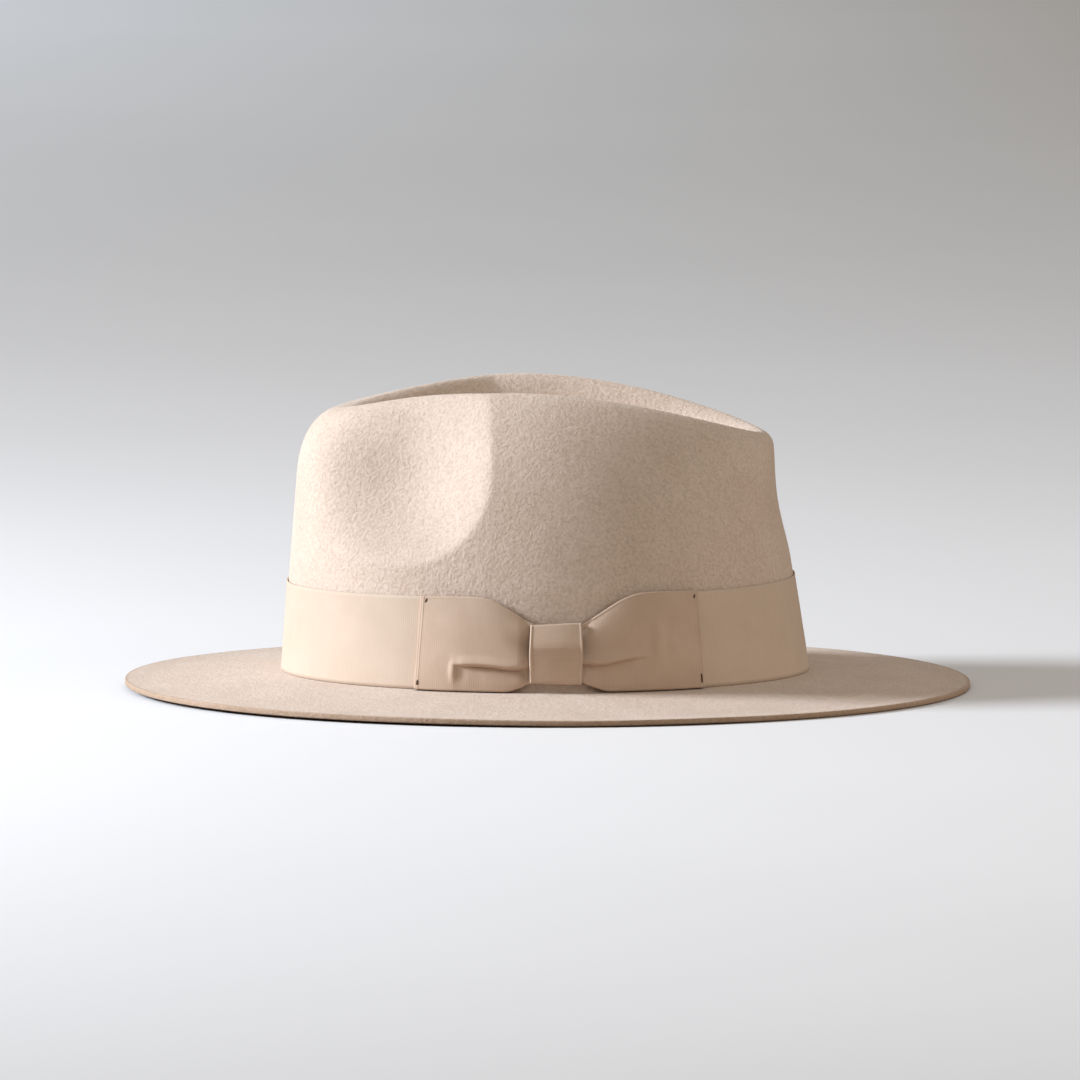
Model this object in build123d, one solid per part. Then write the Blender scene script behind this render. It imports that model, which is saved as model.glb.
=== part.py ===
from build123d import *
import os
from math import acos, asin, cos, hypot, pi, sin

os.makedirs("parts", exist_ok=True)

# ---------------------------------------------------------------------------
# A teardrop-crowned fedora, size 58, lying on its brim.
# Millimetres. The front of the hat points to -X, the bow is on the wearer's
# left at -Y, and up is +Z. The underside of the brim edge rests on Z = 0 and
# the origin is the middle of the brim outline.
# ---------------------------------------------------------------------------

# Felt
felt_thickness = 2.2
brim_half_length = 166.0
brim_half_width = 149.5
brim_flat_share = 0.13        # outermost share of the brim width that lies flat
brim_rise = 4.4               # how much higher the brim is where it meets the crown
break_radius = 1.4            # rounding between the brim and the crown

# Crown outline where it meets the brim (outside of the felt)
crown_x = -1.0                # middle of the crown relative to the brim
crown_half_length = 103.1
crown_half_width = 87.1
back_hollow = 1.7             # how far the back of the crown bends in above the band
plain_wall_top = 48.4         # up to here the crown is a plain tapering oval

# Line of the top ridge: a teardrop that is wide at the back
ridge_x = 3.5
ridge_half_length = 80.5
ridge_half_width = 46.0
ridge_top = 119.4
ridge_top_x = -10.0
ridge_fall_back = 19.8        # how much lower the ridge is at the back

# Floor of the dent inside the ridge
floor_x = 2.0
floor_half_length = 60.0
floor_half_width = 25.0
floor_height = 95.0
floor_slope = -0.07           # the floor falls towards the back

# Front pinches
pinch_x = -58.0
pinch_z = 91.4
pinch_radius = 38.0
pinch_reach_front = 47.0
pinch_amount = 0.31

# Ribbon band
ribbon_thickness = 0.6
ribbon_bottom = 8.0
ribbon_top = 43.4             # at the middle of the hat
ribbon_top_slope = 0.012      # the upper edge climbs towards the back
ribbon_end_front = -36.0      # the two ends stop here, under the lobes of the bow
ribbon_end_back = 42.0

# Bow
bow_x = 3.0                   # middle of the knot
bow_front = -48.8
bow_back = 57.4
bow_bottom = 7.6
bow_top = 43.8
bow_thickness = 2.0
knot_width = 20.2
knot_bottom = 9.8
knot_top = 33.2
knot_thickness = 2.1

# Sweatband, its reed and the lining
leather_thickness = 0.8
sweatband_bottom = 4.1
sweatband_top = 39.4
reed_height = 4.55
reed_radius = 0.6
tape_inside = 0.7
tape_outside = 0.92
sweatband_stitches = 96
sweatband_stitch_height = 9.4
small_bow_height = 14.4       # middle of the small bow over the back seam
tab_bottom = 11.4
lining_thickness = 0.3
lining_bottom = 32.4
lining_top = 80.4
lining_slack = 0.8            # how far the lining stands off at mid-height and again above

# Distances from the outside of the felt; what lies outside the felt is negative
ribbon_inside = -0.3
bow_inside = -1.45
knot_inside = bow_inside - bow_thickness - 0.2
lining_depth = felt_thickness + 0.2
sweatband_depth = felt_thickness + 0.7
tab_depth = felt_thickness + 0.25
reed_depth = sweatband_depth - 0.1 - tape_outside

thread_radius = 0.2
points_round = 36             # points on each closed curve


def crown_character(turn):
    """How much a direction belongs to the front, the sides and the back of the crown."""
    front = max(0.0, -cos(turn)) ** 3
    back = max(0.0, cos(turn)) ** 3
    return front, 1.0 - front - back, back


def pinch(x, z):
    """Share by which the front pinches narrow the crown at a point of its side view."""
    reach = pinch_radius if x > pinch_x else pinch_reach_front
    along = (x - pinch_x) / reach
    up = (z - pinch_z) / pinch_radius
    if up > 0:
        up = up * 0.3
    distance = along * along + up * up
    if distance >= 1:
        return 0.0
    return pinch_amount * (1 - distance) ** 1.3


def ridge_height(x):
    """Height of the ridge along the crown, highest ahead of the middle."""
    ahead = x - ridge_top_x
    if ahead < 0:
        return ridge_top - 0.00194 * ahead * ahead
    return ridge_top - ridge_fall_back * (ahead / 97) ** 1.76


def ridge_point(turn):
    """Point of the ridge line before the pinches narrow it."""
    x = ridge_x + ridge_half_length * cos(turn)
    return x, ridge_half_width * sin(turn), ridge_height(x)


def base_point(turn):
    return crown_half_length * cos(turn), crown_half_width * sin(turn)


break_height = felt_thickness + brim_rise
wall_foot = break_height + break_radius


def wall_inset(turn, z):
    """Share of the way from the base outline to the ridge line at height z."""
    front, side, back = crown_character(turn)
    bx, by = base_point(turn)
    rx, ry, rz = ridge_point(turn)
    total = hypot(rx - bx, ry - by)
    slope = 0.072 * front + 0.107 * side + 0.155 * back
    corner_height = 27 * front + 77 * side + 5.5 * back
    power = 2.35 * front + 1.7 * side + 2.0 * back
    corner_width = total - slope * (rz - wall_foot)
    rise = max(0, (z - plain_wall_top) / (rz - plain_wall_top))
    inset = slope * (z - wall_foot) + back_hollow * back * sin(pi * rise) ** 2
    into_corner = (z - (rz - corner_height)) / corner_height
    if into_corner > 0:
        rest = max(0.0, 1 - into_corner ** power)
        inset += corner_width * (1 - rest ** (1 / power))
    return inset / total


def wall_point(turn, z):
    share = wall_inset(turn, z)
    bx, by = base_point(turn)
    rx, ry, rz = ridge_point(turn)
    x = bx + (rx - bx) * share
    y = by + (ry - by) * share
    return Vector(x + crown_x, y * (1 - pinch(x, z)), z)


def brim_point(turn, inward):
    """Point on top of the brim, from its edge (0) to the start of the break (1)."""
    ex, ey = brim_half_length * cos(turn), brim_half_width * sin(turn)
    bx = (crown_half_length + break_radius) * cos(turn) + crown_x
    by = (crown_half_width + break_radius) * sin(turn)
    share = inward
    x = ex + (bx - ex) * share
    y = ey + (by - ey) * share
    climb = max(0.0, (inward - brim_flat_share) / (1 - brim_flat_share))
    return Vector(x, y, felt_thickness + brim_rise * climb)


def break_point(turn, bend):
    """Point on the rounding between the brim (0) and the crown (1)."""
    out = break_radius * (1 - sin(bend * pi / 2))
    x = (crown_half_length + out) * cos(turn) + crown_x
    y = (crown_half_width + out) * sin(turn)
    return Vector(x, y, break_height + break_radius * (1 - cos(bend * pi / 2)))


def dent_point(turn, inward):
    """Point on the inner side of the ridge, from its top (0) to the floor (1)."""
    rx, ry, rz = ridge_point(turn)
    ry = ry * (1 - pinch(rx, rz))
    fx = floor_x + floor_half_length * cos(turn)
    fy = floor_half_width * sin(turn) * (1 - 0.25 * max(0.0, -cos(turn)))
    fz = floor_height + floor_slope * fx
    share = inward
    fall = (1 - cos(pi * inward)) / 2
    x = rx + (fx - rx) * share + crown_x
    return Vector(x, ry + (fy - ry) * share, rz + (fz - rz) * fall)


def felt_point(turn, station):
    """Point on the outside of the felt.

    Stations 0 to 1 cross the brim inwards, 1 to 2 round the break, 2 to 3 climb the
    plain part of the crown, 3 to 4 go on to the ridge and 4 to 5 down into the dent.
    """
    if station <= 1:
        return brim_point(turn, station)
    if station <= 2:
        return break_point(turn, station - 1)
    if station <= 3:
        return wall_point(turn, wall_foot + (plain_wall_top - wall_foot) * (station - 2))
    if station <= 4:
        rise = (ridge_point(turn)[2] - plain_wall_top) * sin((station - 3) * pi / 2)
        return wall_point(turn, plain_wall_top + rise)
    return dent_point(turn, station - 4)


def outward(turn, station):
    """Direction straight out of the felt."""
    step = 0.004
    low = max(0.0, station - step)
    high = min(5.0, station + step)
    up = felt_point(turn, high) - felt_point(turn, low)
    if station > 4.999:
        return Vector(-floor_slope, 0, 1).normalized()
    if station <= brim_flat_share:
        return Vector(0, 0, 1)
    across = felt_point(turn + step, station) - felt_point(turn - step, station)
    return across.cross(up).normalized()


def layer_point(turn, station, depth):
    """Point at a depth under the outside of the felt; negative depths lie outside it."""
    return felt_point(turn, station) - outward(turn, station) * depth


def ring(station, depth):
    """Closed curve round the hat at one station and depth."""
    points = [layer_point(2 * pi * i / points_round, station, depth) for i in range(points_round)]
    return Wire([Edge.make_spline(points, periodic=True)])


# Each row of stations is one smooth patch of the felt
felt_patches = [
    [brim_flat_share, 1.0],
    [1.0, 1.33, 1.67, 2.0],
    [2.0, 2.5, 3.0],
    [3.0, 3.05, 3.1, 3.15],
    [3.15, 3.22, 3.29, 3.36, 3.42],
    [3.42, 3.53, 3.63, 3.72],
    [3.72, 3.8, 3.87, 3.93, 4.0],
    [4.0, 4.12, 4.25, 4.4, 4.55],
    [4.55, 4.7, 4.85, 5.0],
]


def station_at(turn, z):
    """Station of the crown wall at a height up to the ridge."""
    if z < plain_wall_top:
        return 2 + (z - wall_foot) / (plain_wall_top - wall_foot)
    climb = (z - plain_wall_top) / (ridge_point(turn)[2] - plain_wall_top)
    return 3 + asin(climb) * 2 / pi


def wall_layer_point(turn, z, depth):
    """Point at a height on a layer along the crown wall; at the break it hangs straight down."""
    if z < wall_foot:
        foot = layer_point(turn, 2.0, depth)
        return Vector(foot.X, foot.Y, z)
    return layer_point(turn, station_at(turn, z), depth)


def level_ring(z, depth, slope=0.0):
    """Closed curve round the crown near one height, tilted front to back by a slope."""
    points = []
    for i in range(points_round):
        turn = 2 * pi * i / points_round
        height = z + slope * crown_half_length * cos(turn)
        points.append(wall_layer_point(turn, height, depth))
    return Wire([Edge.make_spline(points, periodic=True)])


def solid_between(outer_rings, inner_rings):
    """Closed layer between an outer and an inner row of rings."""
    faces = list(Shell.make_loft(outer_rings).faces())
    faces += list(Shell.make_loft(inner_rings).faces())
    faces += list(Shell.make_loft([outer_rings[0], inner_rings[0]], ruled=True).faces())
    faces += list(Shell.make_loft([outer_rings[-1], inner_rings[-1]], ruled=True).faces())
    return Solid(Shell(faces))


def wall_layer(bottom, top, depth, thickness, top_slope=0.0, top_gap=0.0, rows=3):
    """Band of even thickness along the crown wall, depth being its outer face.

    Its upper edge may climb towards the back, or stand away from the wall by a gap.
    """
    outer = []
    inner = []
    for row in range(rows):
        share = row / (rows - 1)
        z = bottom + (top - bottom) * share
        outer.append(level_ring(z, depth + top_gap * share, top_slope * share))
        inner.append(level_ring(z, depth + top_gap * share + thickness, top_slope * share))
    return solid_between(outer, inner)


def felt_skin(depth):
    """One face of the felt as a row of smooth patches, from the brim edge to the dent floor."""
    patches = [Face(ring(0.0, depth), [ring(brim_flat_share, depth)])]
    for stations in felt_patches:
        patches += list(Shell.make_loft([ring(s, depth) for s in stations]).faces())
    patches.append(Face(ring(5.0, depth)))
    return patches


def make_felt_body():
    """Crown and brim: one piece of felt of even thickness with a raw-cut edge."""
    faces = felt_skin(0.0) + felt_skin(felt_thickness)
    edge = Shell.make_loft([ring(0.0, 0.0), ring(0.0, felt_thickness)], ruled=True)
    return Solid(Shell(faces + list(edge.faces())))


def near_side_block(x_from, x_to, z_from, z_to):
    """Box that takes in part of the bow side of the crown, as seen from that side."""
    block = Box(x_to - x_from, 60, z_to - z_from)
    return Pos((x_from + x_to) / 2, -85, (z_from + z_to) / 2) * block


def make_hatband():
    """Ribbon round the crown, open under the bow."""
    band = wall_layer(ribbon_bottom, ribbon_top, ribbon_inside - ribbon_thickness,
                      ribbon_thickness, top_slope=ribbon_top_slope)
    gap = near_side_block(ribbon_end_front, ribbon_end_back, 0, 60)
    return (band - gap).solids()[0]


def bow_outline():
    """Outline of the flat bow seen from its side: two lobes drawn in at the knot."""
    front_knot = bow_x - knot_width / 2 + 1.5
    back_knot = bow_x + knot_width / 2 - 1.5
    low = knot_bottom + 0.6
    high = knot_top - 0.6
    edges = [
        Line((bow_front - 0.9, bow_bottom), (bow_front + 0.9, bow_top - 0.8)),
        Line((bow_front + 0.9, bow_top - 0.8), (bow_front + 14, bow_top - 0.7)),
        Spline((bow_front + 14, bow_top - 0.7), (bow_front + 29, bow_top - 3.6), (front_knot, high)),
        Line((front_knot, high), (back_knot, high)),
        Spline((back_knot, high), (bow_back - 34, bow_top - 3.4), (bow_back - 20, bow_top)),
        Line((bow_back - 20, bow_top), (bow_back - 1.4, bow_top + 0.6)),
        Line((bow_back - 1.4, bow_top + 0.6), (bow_back + 1.4, bow_bottom)),
        Line((bow_back + 1.4, bow_bottom), (bow_back - 26, bow_bottom)),
        Spline((bow_back - 26, bow_bottom), (bow_back - 36, low - 1.2), (back_knot, low)),
        Line((back_knot, low), (front_knot, low)),
        Spline((front_knot, low), (bow_front + 32, low - 1.4), (bow_front + 22, bow_bottom)),
        Line((bow_front + 22, bow_bottom), (bow_front - 0.9, bow_bottom)),
    ]
    return make_face(Wire(edges))


def make_bow_loops():
    """Both lobes of the bow: folded ribbon, drawn as one curved plate."""
    blank = wall_layer(bow_bottom - 0.2, bow_top + 2, bow_inside - bow_thickness, bow_thickness)
    cutter = extrude(Plane.XZ.offset(40) * bow_outline(), amount=80)
    return (blank & cutter).solids()[0]


def make_bow_knot():
    """Short ribbon wrapped round the middle of the bow."""
    blank = wall_layer(knot_bottom, knot_top, knot_inside - knot_thickness, knot_thickness)
    block = near_side_block(bow_x - knot_width / 2, bow_x + knot_width / 2, 0, 60)
    knot = (blank & block).solids()[0]
    upright = knot.edges().sort_by(SortBy.LENGTH)[-4:]
    return fillet(upright.sort_by(Axis.Y)[:2], 0.8).solids()[0]


def stitch_along(start, end):
    """Straight stitch of thread between two points."""
    direction = end - start
    return Solid.make_cylinder(thread_radius, direction.length, Plane(start, z_dir=direction))


def near_side_turn(x):
    """Direction, on the bow side, at which the crown wall lies at this X."""
    return -acos((x - crown_x) / crown_half_length)


def make_tack_stitches(places, depth, length):
    """Short upright stitches on the bow side of the crown, at given X and height."""
    tacks = []
    for x, z in places:
        turn = near_side_turn(x)
        low = wall_layer_point(turn, z - length / 2, depth)
        high = wall_layer_point(turn, z + length / 2, depth)
        tacks.append(stitch_along(low, high))
    return Compound(children=tacks)


def make_bow_tack_stitches():
    """One tack in each outer corner of the bow, on top of the ribbon."""
    front = bow_front + 1.6
    back = bow_back - 1.8
    low, high = bow_bottom + 2.8, bow_top - 2.8
    places = [(front, low), (front + 0.8, high), (back, low), (back - 0.6, high + 1)]
    return make_tack_stitches(places, bow_inside - bow_thickness - 0.25, 1.8)


def make_hatband_end_stitches():
    """Tacks that hold the two ends of the band under the bow."""
    places = []
    for x in (ribbon_end_front - 2, ribbon_end_back + 2):
        for step in range(4):
            places.append((x, ribbon_bottom + 4.5 + 7 * step))
    return make_tack_stitches(places, ribbon_inside - ribbon_thickness - 0.25, 2.4)


def make_sweatband():
    """Leather strip round the inside of the head opening."""
    return wall_layer(sweatband_bottom, sweatband_top, sweatband_depth, leather_thickness)


def head_oval(depth, z):
    """Oval round the head opening at a depth inside the crown."""
    foot = Location((crown_x, 0, z))
    return Edge.make_ellipse(crown_half_length - depth, crown_half_width - depth).moved(foot)


def make_round_rod(path, radius):
    start = Plane(origin=path @ 0, z_dir=path % 0)
    return sweep(start * Circle(radius), path=path)


def make_sweatband_reed():
    """Thin rod that stiffens the lower edge of the sweatband."""
    return make_round_rod(head_oval(reed_depth, reed_height), reed_radius).solids()[0]


def make_reed_tape():
    """Tape folded round the reed, drawn as a thin sleeve."""
    path = head_oval(reed_depth, reed_height)
    start = Plane(origin=path @ 0, z_dir=path % 0)
    section = Circle(tape_outside) - Circle(tape_inside)
    return sweep(start * section, path=path).solids()[0]


def make_sweatband_stitching():
    """Row of stitches near the lower edge of the sweatband."""
    depth = sweatband_depth + leather_thickness + 0.85
    stitches = []
    for i in range(sweatband_stitches):
        middle = 2 * pi * i / sweatband_stitches
        half = 1.7 / hypot(crown_half_length * sin(middle), crown_half_width * cos(middle))
        start = wall_layer_point(middle - half, sweatband_stitch_height, depth)
        end = wall_layer_point(middle + half, sweatband_stitch_height, depth)
        stitches.append(stitch_along(start, end))
    return Compound(children=stitches)


def back_inside_point(y, z, depth):
    """Point inside the back of the crown, a distance to one side of the middle."""
    return wall_layer_point(asin(y / crown_half_width), z, depth)


def make_sweatband_back_seam():
    """Zigzag stitches over the butted ends of the sweatband at the back."""
    depth = sweatband_depth + leather_thickness + 0.45
    stitches = []
    for i in range(9):
        side = 1.5 if i % 2 else -1.5
        low = small_bow_height + 6 + 1.9 * i
        start = back_inside_point(-side, low, depth)
        end = back_inside_point(side, low + 1.4, depth)
        stitches.append(stitch_along(start, end))
    return Compound(children=stitches)


def back_plate(outline, depth, thickness):
    """Flat shape in Y and Z laid on the inside of the sweatband at the back."""
    blank = wall_layer(small_bow_height - 4.6, small_bow_height + 4.6, depth, thickness)
    cutter = extrude(Plane.YZ.offset(80) * outline, amount=40)
    return (blank & cutter).solids()[0]


def make_sweatband_bow_loops():
    """Small flat bow over the foot of the back seam."""
    wing = Polyline((0, -1.2), (13, -3), (13, 3), (0, 1.2), (-13, 3), (-13, -3), (0, -1.2))
    wings = Pos(0, small_bow_height) * make_face(wing)
    return back_plate(wings, sweatband_depth + leather_thickness + 0.4, 0.8)


def make_sweatband_bow_knot():
    """Wrap round the middle of the small bow."""
    wrap = Pos(0, small_bow_height) * Rectangle(4.4, 5.2)
    return back_plate(wrap, sweatband_depth + leather_thickness + 1.4, 0.7)


def make_size_tab():
    """Blank tab tucked behind the sweatband, to one side of the back seam."""
    blank = wall_layer(tab_bottom, tab_bottom + 17, tab_depth, 0.2)
    block = Pos(95, 18, 20) * Box(40, 12, 60)
    return (blank & block).solids()[0]


def make_lining_side():
    """Side strip of the lining, its lower edge tucked behind the sweatband."""
    middle = (plain_wall_top + lining_top) / 2
    plain = wall_layer(lining_bottom, plain_wall_top, lining_depth, lining_thickness)
    slack = lining_depth + lining_slack
    lower = wall_layer(plain_wall_top, middle, lining_depth, lining_thickness,
                       top_gap=lining_slack, rows=5)
    upper = wall_layer(middle, lining_top, slack, lining_thickness,
                       top_gap=lining_slack, rows=4)
    return (plain + lower + upper).solids()[0]


def make_lining_tip():
    """Top piece of the lining, stretched across the crown below the dent."""
    depth = lining_depth + 2 * lining_slack + lining_thickness + 0.3
    face = Face(level_flat_ring(lining_top - 0.8, depth))
    return extrude(face, amount=-lining_thickness).solids()[0]


def level_flat_ring(z, depth):
    """Closed curve at exactly one height, a distance inside the crown wall."""
    points = []
    for i in range(points_round):
        point = wall_layer_point(2 * pi * i / points_round, z, depth)
        points.append(Vector(point.X, point.Y, z))
    return Wire([Edge.make_spline(points, periodic=True)])


parts = {
    "felt_body": make_felt_body,
    "hatband_ribbon": make_hatband,
    "hatband_end_stitches": make_hatband_end_stitches,
    "bow_loops": make_bow_loops,
    "bow_knot": make_bow_knot,
    "bow_tack_stitches": make_bow_tack_stitches,
    "sweatband": make_sweatband,
    "sweatband_reed": make_sweatband_reed,
    "reed_tape": make_reed_tape,
    "sweatband_stitching": make_sweatband_stitching,
    "sweatband_back_seam": make_sweatband_back_seam,
    "sweatband_bow_loops": make_sweatband_bow_loops,
    "sweatband_bow_knot": make_sweatband_bow_knot,
    "size_tab": make_size_tab,
    "lining_side": make_lining_side,
    "lining_tip": make_lining_tip,
}

for name, make in parts.items():
    shape = make()
    export_step(shape, "parts/" + name + ".step")
    size = shape.bounding_box().size
    print(name, round(shape.volume), "mm3", [round(v, 1) for v in (size.X, size.Y, size.Z)])
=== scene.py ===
import math

import bmesh
import bpy
import numpy as np
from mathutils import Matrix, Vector


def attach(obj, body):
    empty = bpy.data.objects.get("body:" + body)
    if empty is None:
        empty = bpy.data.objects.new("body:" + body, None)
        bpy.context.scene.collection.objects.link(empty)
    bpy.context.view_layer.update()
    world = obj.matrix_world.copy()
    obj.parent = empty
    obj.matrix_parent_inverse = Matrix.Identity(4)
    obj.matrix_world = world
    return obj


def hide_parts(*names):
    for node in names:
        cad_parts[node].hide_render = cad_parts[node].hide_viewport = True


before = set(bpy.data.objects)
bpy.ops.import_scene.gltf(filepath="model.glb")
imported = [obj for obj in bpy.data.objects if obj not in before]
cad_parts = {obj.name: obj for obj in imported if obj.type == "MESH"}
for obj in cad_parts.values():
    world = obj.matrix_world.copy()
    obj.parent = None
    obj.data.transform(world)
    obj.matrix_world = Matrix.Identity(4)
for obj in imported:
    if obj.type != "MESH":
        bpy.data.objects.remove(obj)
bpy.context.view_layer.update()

# ---------------------------------------------------------------------------
# Shape of the hat, in millimetres, the same formulas as the solid model.
# The front is -X, the bow side is -Y, up is +Z.
# ---------------------------------------------------------------------------

felt_thickness = 2.2
brim_half_length = 166.0
brim_half_width = 149.5
brim_flat_share = 0.13
brim_rise = 4.4
climb_ease = 0.05             # the rise of the brim starts softly over this share of its width
break_radius = 1.4
crown_x = -1.0
crown_half_length = 103.1
crown_half_width = 87.1
back_hollow = 1.7
plain_wall_top = 48.4
ridge_x = 3.5
ridge_half_length = 80.5
ridge_half_width = 46.0
ridge_top = 119.4
ridge_top_x = -10.0
ridge_curve_front = 0.00194   # how sharply the ridge falls towards the front
ridge_fall_back = 19.8
ridge_length_back = 97.0
ridge_power_back = 1.76
floor_x = 2.0
floor_half_length = 60.0
floor_half_width = 25.0
floor_height = 95.0
floor_slope = -0.07
floor_taper_front = 0.25      # how much narrower the dent's floor is at the front
pinch_x = -58.0
pinch_z = 91.4
pinch_radius = 38.0
pinch_reach_front = 47.0
pinch_amount = 0.31
pinch_stretch_up = 0.3        # the pinch fades this much more slowly above its middle
pinch_power = 1.3
break_height = felt_thickness + brim_rise
wall_foot = break_height + break_radius

# The crown wall at the front, the sides and the back
wall_slopes = (0.072, 0.107, 0.155)
corner_heights = (27.0, 77.0, 5.5)    # how far below the ridge the wall starts to round over
corner_powers = (2.35, 1.7, 2.0)      # how square that rounding is

ribbon_bottom = 7.1
ribbon_top = 43.4
band_width = 0.0365           # flat widths of the ribbon, in metres
bow_width = 0.036
ribbon_top_slope = 0.012
ribbon_end_front = -36.0
ribbon_end_back = 42.0
bow_x = 3.0
bow_front = -48.8
bow_back = 57.4
ribbon_gauge = 0.42           # thickness of the ribbon in the bow and the band
sweatband_bottom = 4.1
sweatband_top = 39.4
sweatband_depth = 2.9
leather_thickness = 0.8
reed_height = 4.55
reed_radius = 0.6
tape_inside = 0.68
tape_outside = 0.92
reed_depth = sweatband_depth - 0.1 - tape_outside
sweatband_stitches = 96
stitch_height = 9.3
small_bow_height = 14.4
tab_bottom = 11.4
tab_height = 17.0
lining_bottom = 32.4
lining_top = 80.4

mm = 0.001                    # metres
straight_up = np.array([0, 0, 1.0])


def crown_character(turn):
    """How much a direction belongs to the front, the sides and the back of the crown."""
    front = np.maximum(0.0, -np.cos(turn)) ** 3
    back = np.maximum(0.0, np.cos(turn)) ** 3
    return front, 1.0 - front - back, back


def blend(values, shares):
    return sum(value * share for value, share in zip(values, shares))


def pinch(x, z):
    """Share by which the front pinches narrow the crown at a point of its side view."""
    reach = np.where(x > pinch_x, pinch_radius, pinch_reach_front)
    along = (x - pinch_x) / reach
    up = (z - pinch_z) / pinch_radius
    up = np.where(up > 0, up * pinch_stretch_up, up)
    distance = along * along + up * up
    return pinch_amount * np.maximum(0.0, 1 - distance) ** pinch_power


def ridge_height(x):
    behind = x - ridge_top_x
    to_back = np.maximum(behind, 0) / ridge_length_back
    return np.where(behind < 0, ridge_top - ridge_curve_front * behind * behind,
                    ridge_top - ridge_fall_back * to_back ** ridge_power_back)


def ridge_point(turn):
    x = ridge_x + ridge_half_length * np.cos(turn)
    return x, ridge_half_width * np.sin(turn), ridge_height(x)


def wall_point(turn, z):
    character = crown_character(turn)
    bx, by = crown_half_length * np.cos(turn), crown_half_width * np.sin(turn)
    rx, ry, rz = ridge_point(turn)
    total = np.hypot(rx - bx, ry - by)
    slope = blend(wall_slopes, character)
    corner_height = blend(corner_heights, character)
    power = blend(corner_powers, character)
    corner_width = total - slope * (rz - wall_foot)
    into = np.clip((z - (rz - corner_height)) / corner_height, 0, 1)
    rest = 1 - into ** power
    rise = np.clip((z - plain_wall_top) / (rz - plain_wall_top), 0, 1)
    hollow = back_hollow * character[2] * np.sin(np.pi * rise) ** 2
    share = (slope * (z - wall_foot) + hollow + corner_width * (1 - rest ** (1 / power))) / total
    x = bx + (rx - bx) * share
    y = by + (ry - by) * share
    return np.stack([x + crown_x, y * (1 - pinch(x, z)), z], -1)


def brim_point(turn, inward):
    ex, ey = brim_half_length * np.cos(turn), brim_half_width * np.sin(turn)
    bx = (crown_half_length + break_radius) * np.cos(turn) + crown_x
    by = (crown_half_width + break_radius) * np.sin(turn)
    climb = (inward - brim_flat_share) / (1 - brim_flat_share)
    eased = climb - climb_ease * (1 - np.exp(-np.maximum(climb, 0) / climb_ease))
    climb = np.where(climb > 0, eased, 0) / (1 - climb_ease)
    z = felt_thickness + brim_rise * climb
    return np.stack([ex + (bx - ex) * inward, ey + (by - ey) * inward, z], -1)


def break_point(turn, bend):
    out = break_radius * (1 - np.sin(bend * np.pi / 2))
    x = (crown_half_length + out) * np.cos(turn) + crown_x
    y = (crown_half_width + out) * np.sin(turn)
    z = break_height + break_radius * (1 - np.cos(bend * np.pi / 2))
    return np.stack([x, y, z], -1)


def floor_half_width_at(turn):
    return floor_half_width * np.sin(turn) * (1 - floor_taper_front * np.maximum(0.0, -np.cos(turn)))


def dent_point(turn, inward):
    rx, ry, rz = ridge_point(turn)
    ry = ry * (1 - pinch(rx, rz))
    fx = floor_x + floor_half_length * np.cos(turn)
    fy = floor_half_width_at(turn)
    fz = floor_height + floor_slope * fx
    fall = (1 - np.cos(np.pi * inward)) / 2
    return np.stack([rx + (fx - rx) * inward + crown_x, ry + (fy - ry) * inward,
                     rz + (fz - rz) * fall], -1)


def floor_point(turn, inward):
    fx = floor_half_length * np.cos(turn) * (1 - inward)
    fy = floor_half_width_at(turn) * (1 - inward)
    fz = floor_height + floor_slope * (fx + floor_x)
    return np.stack([fx + floor_x + crown_x, fy, fz], -1)


def lower_wall_point(turn, climb):
    return wall_point(turn, wall_foot + (plain_wall_top - wall_foot) * climb)


def upper_wall_point(turn, climb):
    to_ridge = ridge_point(turn)[2] - plain_wall_top
    return wall_point(turn, plain_wall_top + to_ridge * np.sin(climb * np.pi / 2))


# Stations 0 to 1 cross the brim, 1 to 2 round the break, 2 to 3 climb the plain wall, 3 to 4 go on to
# the ridge, 4 to 5 down into the dent and 5 to 6 in to the middle of its floor
stretches = (brim_point, break_point, lower_wall_point, upper_wall_point, dent_point, floor_point)
last_station = 5.99


def felt_point(turn, station):
    """Point on the outside of the felt."""
    turn, station = np.broadcast_arrays(np.asarray(turn, float), np.asarray(station, float))
    out = np.zeros(turn.shape + (3,))
    stretch = np.clip(np.ceil(station) - 1, 0, len(stretches) - 1)
    for index, make in enumerate(stretches):
        pick = stretch == index
        if pick.any():
            out[pick] = make(turn[pick], station[pick] - index)
    return out


def unit(vectors):
    return vectors / np.maximum(np.linalg.norm(vectors, axis=-1, keepdims=True), 1e-9)


def outward(turn, station):
    """Direction straight out of the felt."""
    turn, station = np.broadcast_arrays(np.asarray(turn, float), np.asarray(station, float))
    step = 0.004
    low = np.clip(station - step, 0, last_station)
    high = np.clip(station + step, 0, last_station)
    up = felt_point(turn, high) - felt_point(turn, low)
    across = felt_point(turn + step, station) - felt_point(turn - step, station)
    normal = unit(np.cross(across, up))
    on_flat_brim = (station <= brim_flat_share)[..., None]
    normal = np.where(on_flat_brim, straight_up, normal)
    on_floor = (station > 4.995)[..., None]
    return np.where(on_floor, unit(np.array([-floor_slope, 0, 1.0])), normal)


def layer_point(turn, station, depth):
    """Point at a depth under the outside of the felt; negative depths lie outside it."""
    return felt_point(turn, station) - outward(turn, station) * np.asarray(depth)[..., None]


def station_at(turn, z):
    """Station of the crown wall at a height."""
    low = 2 + (z - wall_foot) / (plain_wall_top - wall_foot)
    climb = np.clip((z - plain_wall_top) / (ridge_point(turn)[2] - plain_wall_top), 0, 1)
    return np.where(z < plain_wall_top, low, 3 + np.arcsin(climb) * 2 / np.pi)


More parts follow.
